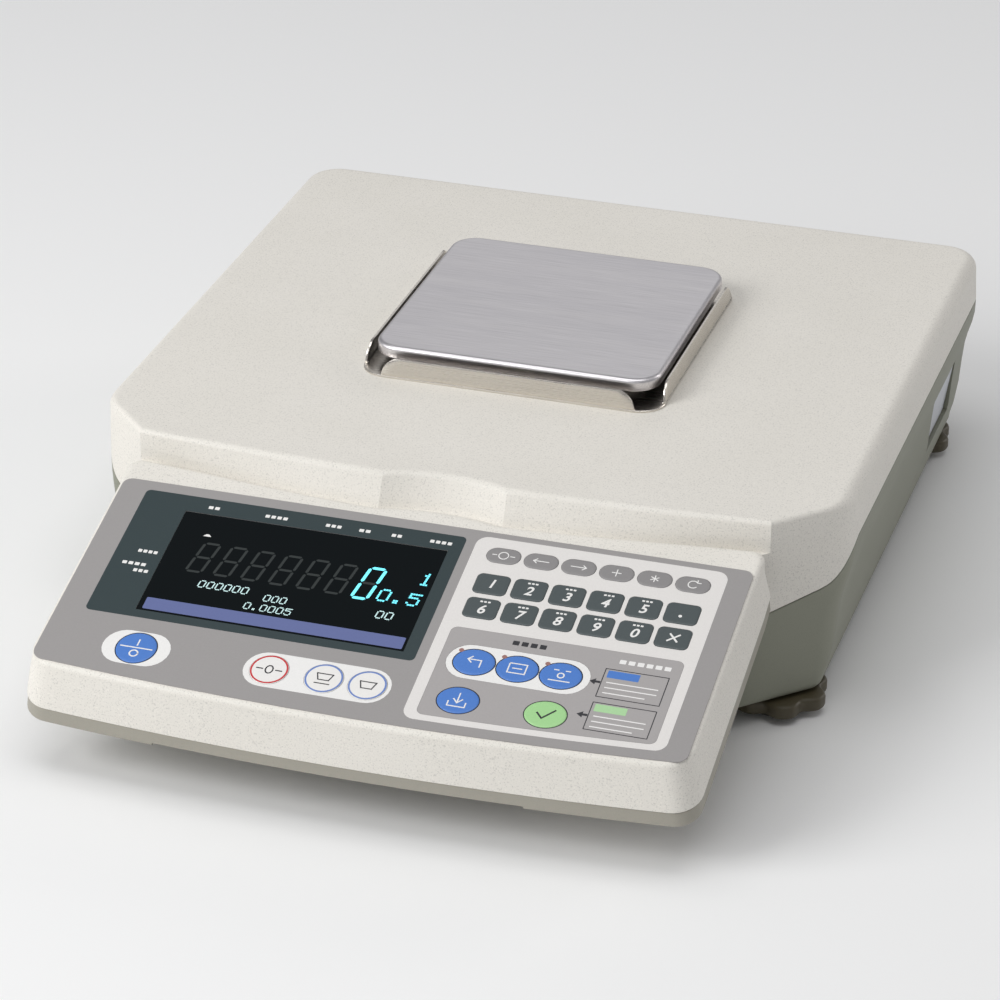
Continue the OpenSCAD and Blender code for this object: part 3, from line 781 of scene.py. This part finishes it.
def make_feet():
    for tag in ("rear_left", "front_left", "rear_right", "front_right"):
        low, high = cad_box("foot_knob_" + tag)
        pad_low, pad_high = cad_box("foot_pad_" + tag)
        middle = (pad_low + pad_high) / 2
        knob_top, knob_low = 9.0, pad_high.z + 0.1
        steps = [(6.0, knob_low), (1.2, knob_low), (0.3, knob_low + 0.4), (0.0, knob_low + 1.2),
                 (0.0, knob_top - 1.6), (0.4, knob_top - 0.5), (1.4, knob_top), (6.0, knob_top - 0.1)]
        knob = loft_mesh("foot_knob", flat_rings(knob_outline, steps, middle), angle=45)
        add_object("knob_" + tag, knob, KNOB, "knob_" + tag, ["foot_knob_" + tag])
        stud_steps = [(0.0, knob_top - 0.2)]
        turns = int((high.z - knob_top) / STUD_PITCH)
        for k in range(turns):
            z = knob_top + STUD_PITCH * k
            stud_steps += [(0.45, z + 0.3), (0.0, z + 0.9)]
        stud_steps.append((0.6, high.z))
        stud = loft_mesh("foot_stud", flat_rings(disc(3.95), stud_steps, middle), angle=20)
        add_object("stud_" + tag, stud, SCREW, "knob_" + tag)
        pad_steps = [(2.2, 0.05), (0.7, 0.0), (0.0, 0.7), (0.0, pad_high.z - 0.5),
                     (0.5, pad_high.z), (3.0, pad_high.z)]
        pad = loft_mesh("foot_pad", flat_rings(disc(14.0), pad_steps, middle), angle=40)
        add_object("pad_" + tag, pad, RUBBER, "foot_" + tag, ["foot_pad_" + tag])


make_feet()


# ---------------------------------------------------------------- printed panel

def decal(name, loops, n, colour, body="base", thickness=0.03):
    """A thin printed shape on the panel. Loops inside other loops are holes."""
    curve = bpy.data.curves.new(name, "CURVE")
    curve.dimensions = "2D"
    curve.fill_mode = "BOTH"
    curve.extrude = thickness / 2
    for loop in loops:
        spline = curve.splines.new("POLY")
        spline.points.add(len(loop) - 1)
        for point, (u, v) in zip(spline.points, loop):
            point.co = (u, v, 0, 1)
        spline.use_cyclic_u = True
    return flatten(name, curve, n, colour, body)


def flatten(name, curve, n, colour, body):
    """Turns a curve or text drawn in millimetres into a mesh that lies on the panel at height n."""
    drawn = bpy.data.objects.new(name, curve)
    bpy.context.scene.collection.objects.link(drawn)
    graph = bpy.context.evaluated_depsgraph_get()
    mesh = bpy.data.meshes.new_from_object(drawn.evaluated_get(graph))
    mesh.name = name
    mesh.transform(PANEL_MATRIX @ Matrix.Scale(MM, 4) @ Matrix.Translation((0, 0, n)))
    mesh.materials.clear()
    bpy.data.objects.remove(drawn)
    return add_object(name, mesh, colour, body)


def shifted(loop, u, v):
    return [(x + u, y + v) for x, y in loop]


def box_loop(u0, u1, v0, v1, radius, steps=6):
    return shifted(rounded_rectangle(abs(u1 - u0), abs(v1 - v0), radius, 0, steps), (u0 + u1) / 2, (v0 + v1) / 2)


def bowed_loop(u0, u1, v_top, v_low, radius):
    """A rounded panel whose lower edge follows the console's bow; v_low is its height at the film's corners."""
    def edge(u):
        return v_low - CONSOLE_BOW * (1 - (u / FILM_CORNER_U) ** 2)
    arc = [(radius * math.sin(math.pi / 2 * k / 6), radius * math.cos(math.pi / 2 * k / 6)) for k in range(7)]
    left, right, top = u0 + radius, u1 - radius, v_top - radius
    stops = [lerp(right, left, k / 16) for k in range(1, 16)]
    return ([(right + sine, top + cosine) for sine, cosine in arc]
            + [(right + cosine, edge(right) + radius - sine) for sine, cosine in arc]
            + [(u, edge(u)) for u in stops]
            + [(left - sine, edge(left) + radius - cosine) for sine, cosine in arc]
            + [(left - cosine, top + sine) for sine, cosine in arc])


def key_outline(name, grow):
    """Outline of a key's visible cap: the entry keys are ovals and the lower left ones a little smaller."""
    kind, u, v = KEYS[name]
    if kind == 2 and name != "key_power":
        wide, tall = (8.5, 7.1) if u > 30 else (8.0, 8.0)
        return [((wide + grow) * math.cos(math.pi * k / 24), (tall + grow) * math.sin(math.pi * k / 24))
                for k in range(48)]
    return key_shape(kind, grow)


def key_hole_loops(names, grow=0.12):
    return [shifted(key_outline(name, grow), KEYS[name][1], KEYS[name][2]) for name in names]


def ring_loops(u, v, outer, inner, steps=40):
    turns = [2 * math.pi * k / steps for k in range(steps)]
    return [[(u + r * math.cos(turn), v + r * math.sin(turn)) for turn in turns] for r in (outer, inner)]


def stroke(points, width):
    """Outline loops of a thick line through points, with square ends, one loop per stretch."""
    loops = []
    for (x0, y0), (x1, y1) in zip(points, points[1:]):
        length = math.hypot(x1 - x0, y1 - y0)
        dx, dy = (x1 - x0) / length * width / 2, (y1 - y0) / length * width / 2
        loops.append([(x0 - dx - dy, y0 - dy + dx), (x0 - dx + dy, y0 - dy - dx),
                      (x1 + dx + dy, y1 + dy - dx), (x1 + dx - dy, y1 + dy + dx)])
    return loops


def strokes(name, lines, n, colour, body="base", width=0.5):
    """Several thick lines as one printed piece; each stretch lies a hair above the last one."""
    parts = [loop for points in lines for loop in stroke(points, width)]
    bm = bmesh.new()
    for k, loop in enumerate(parts):
        lift = n + 0.004 * (k % 3)
        low = [bm.verts.new(Vector((x, y, lift))) for x, y in loop]
        high = [bm.verts.new(Vector((x, y, lift + 0.03))) for x, y in loop]
        bm.faces.new(list(reversed(low)))
        bm.faces.new(high)
        for i in range(4):
            j = (i + 1) % 4
            bm.faces.new((low[i], low[j], high[j], high[i]))
    bm.transform(PANEL_MATRIX @ Matrix.Scale(MM, 4))
    bmesh.ops.recalc_face_normals(bm, faces=bm.faces)
    mesh = bpy.data.meshes.new(name)
    bm.to_mesh(mesh)
    bm.free()
    return add_object(name, mesh, colour, body)


def numeral(name, text, u, v, n, size, colour, body, shear, weight):
    """Digits from the built-in font, centred on a point of the panel."""
    curve = bpy.data.curves.new(name, "FONT")
    curve.body = text
    curve.size = size
    curve.shear = shear
    curve.offset = weight
    curve.extrude = 0.015
    curve.align_x = "CENTER"
    curve.align_y = "CENTER"
    piece = flatten(name, curve, n, colour, body)
    piece.data.transform(PANEL_MATRIX @ Matrix.Translation(Vector((u, v, 0)) * MM) @ PANEL_MATRIX.inverted())


INK = FILM_TOP + 0.03               # height of the printed fields, and of the marks on them
INK_MARK = INK + 0.02


def dashes(name, count, u, v, width, height, n, colour, body="base"):
    """A row of small blocks, centred on a point, where the photographed part has lettering."""
    pitch = width / count
    middles = [u + pitch * (k - (count - 1) / 2) for k in range(count)]
    half = pitch * 0.36
    blocks = [box_loop(m - half, m + half, v - height / 2, v + height / 2, 0.2, 2) for m in middles]
    decal(name, blocks, n, colour, body)


upper_right = [name for name, (_, u, v) in KEYS.items() if u > 30 and v > -50]
trio = ["key_recall", "key_unit_entry", "key_sample"]
left_trio = ["key_zero", "key_tare_set", "key_tare"]

decal("display_frame", [box_loop(-124.2, 16.3, -80.0, -6.6, 2.2), window_shape], INK, FILM_DARK)
decal("keypad_field", [bowed_loop(20.6, 126.6, -4.4, -106.0, 5.0)] + key_hole_loops(upper_right)
      + [bowed_loop(25.6, 122.0, -57.3, -102.9, 3.0)], INK, FILM_LIGHT)
decal("entry_field", [bowed_loop(25.8, 121.8, -57.5, -102.7, 3.0)] + key_hole_loops(["key_store", "key_confirm"])
      + [box_loop(28.5, 88.0, -85.0, -65.8, 9.5)], INK, FILM_INNER)
decal("entry_island", [box_loop(28.7, 87.8, -84.8, -66.0, 9.4)] + key_hole_loops(trio), INK, INK_WHITE)
decal("power_island", [box_loop(-109.7, -81.1, -106.3, -87.7, 9.2)] + key_hole_loops(["key_power"]), INK, INK_WHITE)
decal("tare_island", [box_loop(-49.3, 12.3, -106.6, -87.6, 9.4)] + key_hole_loops(left_trio), INK, INK_WHITE)


# ---------------------------------------------------------------- keys

def make_key(name, kind, u, v):
    colour = KEY_MATERIAL.get(name, (KEY_FN, KEY_NUMBER, KEY_BLUE)[kind])
    steps = [(0.0, -3.0), (0.0, 0.42), (0.10, 0.55), (0.30, 0.64), (0.7, 0.69), (1.6, 0.70)]
    rings = [[panel_point(x + u, y + v, n) for x, y in key_outline(name, -inset)] for inset, n in steps]
    add_object(name + "_cap", loft_mesh(name, rings, angle=50), colour, name, [name])


for name, (kind, u, v) in KEYS.items():
    make_key(name, kind, u, v)
KEY_TOP = 0.72
for digit in "0123456789":
    name = "key_" + digit
    _, u, v = KEYS[name]
    low = 0.0 if digit == "1" else 0.9  # moved down to leave room for the dots above it
    numeral(name + "_digit", digit, u, v - low, KEY_TOP, 6.8, INK_WHITE, name, 0.2, 0.13)
    if low:
        dashes(name + "_dots", 3, u + 0.6, v + 3.7, 4.8, 0.9, KEY_TOP, INK_WHITE, name)
_, point_u, point_v = KEYS["key_point"]
decal("key_point_mark", [ring_loops(point_u - 0.4, point_v - 1.6, 0.75, 0.1)[0]], KEY_TOP, INK_WHITE, "key_point")


def mark(name, lines, colour=INK_WHITE, width=0.55):
    """A simple line symbol on a key, given round the key's own middle."""
    _, u, v = KEYS[name]
    strokes(name + "_mark", [shifted(line, u, v) for line in lines], KEY_TOP, colour, name, width)


def circle_line(radius, start=0, end=360, steps=16):
    return [(radius * math.cos(math.radians(lerp(start, end, k / steps))),
             radius * math.sin(math.radians(lerp(start, end, k / steps)))) for k in range(steps + 1)]


arrow = [[(-3.2, 0), (3.2, 0)], [(1.8, 1.2), (3.2, 0), (1.8, -1.2)]]
flipped = [[(-x, y) for x, y in line] for line in arrow]
mark("key_fn_1", [circle_line(2.0), [(-4.6, 0), (-3.0, 0)], [(3.0, 0), (4.6, 0)]], width=0.45)
mark("key_fn_2", flipped, width=0.45)
mark("key_fn_3", arrow, width=0.45)
mark("key_fn_4", [[(-1.8, 0), (1.8, 0)], [(0, -1.8), (0, 1.8)]], width=0.45)
mark("key_fn_5", [[(-1.7 * math.cos(t), -1.7 * math.sin(t)), (1.7 * math.cos(t), 1.7 * math.sin(t))]
                  for t in (math.pi / 2, math.pi / 6, -math.pi / 6)], width=0.45)
mark("key_fn_6", [circle_line(2.0, 40, 320), [(1.5, 2.6), (1.6, 1.2), (3.0, 1.2)]], width=0.45)
mark("key_clear", [[(-1.9, -1.9), (2.3, 1.9)], [(-1.5, 1.9), (1.9, -1.9)]], width=0.8)
mark("key_recall", [[(2.8, -2.4), (2.8, 1.2), (-2.8, 1.2)], [(-1.2, 2.8), (-2.8, 1.2), (-1.2, -0.4)]])
mark("key_unit_entry", [[(-3.6, 2.6), (3.6, 2.6), (3.6, -2.6), (-3.6, -2.6), (-3.6, 2.6)],
                        [(-1.8, 0), (1.8, 0)]])
mark("key_sample", [circle_line(1.3, steps=12), [(-4.2, -3.0), (4.2, -3.0)], [(-3.2, 2.8), (-1.6, 2.8)],
                    [(1.6, 2.8), (3.2, 2.8)]])
mark("key_store", [[(0, 3.6), (0, -1.4)], [(-1.8, 0.4), (0, -1.6), (1.8, 0.4)],
                   [(-3.6, -1.2), (-3.6, -3.6), (3.6, -3.6), (3.6, -1.2)]])
mark("key_confirm", [[(-3.4, 0.2), (-1.0, -2.4), (3.4, 2.6)]], INK_DARK, 0.75)
mark("key_power", [[(0, 4.4), (0, 1.4)], [(-6.6, 0), (6.6, 0)],
                   [(p[0], p[1] - 3.2) for p in circle_line(1.7)]], width=0.6)
mark("key_zero", [[(p[0], p[1] * 1.4) for p in circle_line(1.5)], [(-5.2, 0), (-2.8, 0)],
                  [(2.8, 0), (5.2, 0)]], INK_DARK, 0.55)
mark("key_tare_set", [[(-3.4, 2.4), (3.4, 2.4), (2.2, -1.0), (-2.2, -1.0), (-3.4, 2.4)],
                      [(-3.0, -3.0), (3.0, -3.0)]], INK_DARK, 0.5)
mark("key_tare", [[(-3.4, 1.8), (3.4, 1.8), (2.2, -1.8), (-2.2, -1.8), (-3.4, 1.8)]], INK_DARK, 0.5)
for name, colour in (("key_zero", INK_RED), ("key_tare_set", INK_BLUE), ("key_tare", INK_BLUE)):
    _, u, v = KEYS[name]
    decal(name + "_ring", ring_loops(u, v, 7.75, 7.0), KEY_TOP - 0.02, colour, name)
for name in trio + ["key_store", "key_confirm", "key_power"]:
    _, u, v = KEYS[name]
    decal(name + "_outline", [shifted(key_outline(name, grow), u, v) for grow in (0.42, 0.08)], INK + 0.01, INK_DARK)

# Guide boxes, arrows, lamps and small marks round the keys
for k, (v0, v1, tag) in enumerate(((-83.3, -67.2, KEY_BLUE), (-101.5, -86.1, INK_GREEN))):
    decal(f"guide_frame_{k}", [box_loop(92.1, 118.2, v0, v1, 0.3),
                               box_loop(92.5, 117.8, v0 + 0.4, v1 - 0.4, 0.2)], INK_MARK, INK_DARK)
    decal(f"guide_tag_{k}", [box_loop(93.6, 106.6, v1 - 5.0, v1 - 1.0, 0.3)], INK_MARK, tag)
    lines = [[(94.6, v1 - 7.6 - 2.9 * i), (115.2 - 4 * (i == 2), v1 - 7.6 - 2.9 * i)] for i in range(3)]
    strokes(f"guide_lines_{k}", lines, INK_MARK, INK_WHITE, width=0.55)
    middle = (v0 + v1) / 2
    decal(f"guide_arrow_{k}", [[(87.6, middle), (90.0, middle + 1.7), (90.0, middle + 0.6), (92.0, middle + 0.6),
                                (92.0, middle - 0.6), (90.0, middle - 0.6), (90.0, middle - 1.7)]], INK_MARK, INK_DARK)
for k, name in enumerate(trio):
    _, u, v = KEYS[name]
    decal(f"lamp_{k}", [ring_loops(u - 6.9, v + 5.6, 1.05, 0.1)[0]], INK_MARK, INK_LAMP)
dashes("entry_title", 4, 59.0, -61.4, 15.0, 2.4, INK_MARK, INK_DARK)
dashes("guide_title", 6, 107.0, -62.6, 22.0, 2.2, INK_MARK, INK_WHITE)

# ---------------------------------------------------------------- display

window_piece = decal("display_glass", [box_loop(*WINDOW_U, *WINDOW_V, 0.4)], 0.10, GLASS_BLACK, thickness=0.6)
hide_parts("display_window")
GLASS_TOP = 0.42
decal("display_strip", [box_loop(-101.3, 9.5, -74.6, -68.0, 0.6)], GLASS_TOP, INK_STRIP)


def segment_loops(u, v, width, height, lit, thick=1.5, lean=0.16):
    """The bars of one seven-segment digit, leaning to the right."""
    w, h, t, g = width / 2, height / 2, thick, 0.35
    ends = {"a": ((-w, h), (w, h)), "g": ((-w, 0), (w, 0)), "d": ((-w, -h), (w, -h)),
            "f": ((-w, 0), (-w, h)), "b": ((w, 0), (w, h)), "e": ((-w, -h), (-w, 0)), "c": ((w, -h), (w, 0))}
    loops = []
    for bar in lit:
        (x0, y0), (x1, y1) = ends[bar]
        s = t / 2
        if y0 == y1:
            loop = [(x0 + g, y0), (x0 + g + s, y0 + s), (x1 - g - s, y0 + s),
                    (x1 - g, y0), (x1 - g - s, y0 - s), (x0 + g + s, y0 - s)]
        else:
            loop = [(x0, y0 + g), (x0 + s, y0 + g + s), (x0 + s, y1 - g - s),
                    (x0, y1 - g), (x0 - s, y1 - g - s), (x0 - s, y0 + g + s)]
        loops.append([(x + y * lean + u, y + v) for x, y in loop])
    return loops


digit_u = [-15.1 - 11.95 * (6 - k) for k in range(7)]
digit_v = -41.2
ghosts = [loop for u in digit_u[:6] for loop in segment_loops(u, digit_v, 6.6, 17.0, "abcdefg", 1.2)]
decal("ghost_digits", ghosts, GLASS_TOP, GHOST)
decal("lit_digit", segment_loops(digit_u[6], digit_v, 6.6, 18.0, "abcdef", 1.4), GLASS_TOP, LIT)
decal("ghost_bars", segment_loops(digit_u[6], digit_v, 6.6, 18.0, "g", 1.3), GLASS_TOP, GHOST)

DOT_GLYPHS = {"0": ("01110", "10001", "10001", "10001", "10001", "10001", "01110"),
              "1": ("00100", "01100", "00100", "00100", "00100", "00100", "01110"),
              "5": ("11111", "10000", "11110", "00001", "00001", "10001", "01110"),
              ".": ("00000", "00000", "00000", "00000", "00000", "01100", "01100")}


def dot_text(name, text, u, v, pitch, colour, gap=0.16, lean=0.12):
    loops = []
    for place, character in enumerate(text):
        if character == " ":
            continue
        for row, bits in enumerate(DOT_GLYPHS[character]):
            for column, bit in enumerate(bits):
                if bit == "1":
                    y = v - row * pitch
                    x = u + (place * 6 + column) * pitch + (y - v) * lean
                    s = pitch / 2 * (1 - gap)
                    loops.append([(x - s, y - s), (x + s, y - s), (x + s, y + s), (x - s, y + s)])
    return decal(name, loops, GLASS_TOP, colour)


dot_text("unit_marks", "0.5", -8.6, -43.4, 1.05, LIT)
dot_text("single_mark", "1", 5.6, -31.0, 1.05, LIT)
dot_text("count_marks", "000000", -83.0, -54.2, 0.62, LIT_WHITE)
dot_text("pair_marks", "000", -54.0, -56.6, 0.58, LIT_WHITE)
dot_text("weight_marks", "0.0005", -60.5, -62.4, 0.58, LIT_WHITE)
dot_text("level_marks", "00", -6.2, -55.6, 0.66, LIT_WHITE)
top_legends = ((2, -92.5, 5.6), (4, -65.0, 10.4), (3, -40.0, 7.4), (2, -26.4, 5.6), (2, -12.6, 5.0), (4, 6.5, 10.0))
for k, (count, u, width) in enumerate(top_legends):
    dashes(f"legend_{k}", count, u, -11.8, width, 1.7, INK_MARK, INK_WHITE)
side_legends = ((4, -110.6, -42.6, 9.0), (4, -113.8, -50.4, 11.0), (3, -109.6, -54.0, 7.0))
for k, (count, u, v, width) in enumerate(side_legends):
    dashes(f"side_legend_{k}", count, u, v, width, 1.7, INK_MARK, INK_WHITE)
decal("stable_mark", [[(-91.4, -28.8), (-87.8, -28.8), (-89.0, -27.5), (-90.2, -27.5)]], GLASS_TOP, INK_WHITE)

# ---------------------------------------------------------------- carried-over CAD nodes

FINISH = {"control_overlay": FILM, "display_module": BLACK, "key_board": CARD, "main_board": CARD,
          "ribbon_cable": CABLE, "load_cell": CAST, "load_cell_base": CAST, "load_cell_screws": SCREW,
          "pan_support": CAST, "support_screws": SCREW, "pan_cushions": RUBBER, "tray_screws": SCREW,
          "level_vial": VIAL, "cover_screws": SCREW, "console_screws": SCREW, "dc_jack": BLACK, "data_port": PORT, "side_label_plates": LABEL}
for node, finish in FINISH.items():
    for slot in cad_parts[node].material_slots:
        slot.material = finish


# ---------------------------------------------------------------- floor, light and camera

def make_floor():
    bm = bmesh.new()
    bmesh.ops.create_grid(bm, x_segments=2, y_segments=2, size=6)
    mesh = bpy.data.meshes.new("floor")
    bm.to_mesh(mesh)
    bm.free()
    floor = bpy.data.objects.new("floor", mesh)
    bpy.context.scene.collection.objects.link(floor)
    mesh.materials.append(printed("floor_paper", (0.93, 0.93, 0.925), 0.85, 0.004))


def area_light(name, place, target, size, power, colour=(1, 1, 1)):
    data = bpy.data.lights.new(name, "AREA")
    data.shape = "RECTANGLE"
    data.size, data.size_y = size
    data.energy = power
    data.color = colour
    lamp = bpy.data.objects.new(name, data)
    lamp.location = place
    lamp.rotation_euler = (Vector(target) - Vector(place)).to_track_quat("-Z", "Y").to_euler()
    bpy.context.scene.collection.objects.link(lamp)


make_floor()
area_light("key", (-1.5, -1.5, 1.35), (0, -0.08, 0.05), (1.3, 1.3), 38)
area_light("overhead", (0.0, -0.25, 1.9), (0, -0.05, 0.05), (1.8, 1.0), 11)
area_light("back", (-0.55, 2.3, 1.25), (0, 0.05, 0.1), (1.9, 0.9), 2.6)
area_light("right", (1.7, 1.5, 0.9), (0, 0, 0.08), (0.9, 0.9), 6, (1.0, 0.965, 0.94))
world = bpy.data.worlds.new("studio")
world.use_nodes = True
world.node_tree.nodes["Background"].inputs["Color"].default_value = (0.96, 0.97, 1.0, 1)
world.node_tree.nodes["Background"].inputs["Strength"].default_value = 0.30
bpy.context.scene.world = world
bpy.context.scene.view_settings.view_transform = "Standard"

# The camera looks down on the console from 17 degrees round to the right and 27 degrees up.
AZIMUTH, ELEVATION, ROLL = math.radians(17.073), math.radians(27.281), math.radians(0.426)
EYE = Vector((0.45780, -1.50287, 0.85155))
back = Vector((math.sin(AZIMUTH) * math.cos(ELEVATION), -math.cos(AZIMUTH) * math.cos(ELEVATION),
               math.sin(ELEVATION)))
right = Vector((math.cos(AZIMUTH), math.sin(AZIMUTH), 0))
up = back.cross(right)
rolled_right = right * math.cos(ROLL) + up * math.sin(ROLL)
rolled_up = up * math.cos(ROLL) - right * math.sin(ROLL)
camera_data = bpy.data.cameras.new("camera")
camera_data.sensor_width = 36
camera_data.lens = 145.36           # millimetres, a long lens, so the far edges shrink only a little
camera_data.clip_start = 0.05
camera = bpy.data.objects.new("camera", camera_data)
camera.matrix_world = Matrix.Translation(EYE) @ Matrix((rolled_right, rolled_up, back)).transposed().to_4x4()
bpy.context.scene.collection.objects.link(camera)
bpy.context.scene.camera = camera
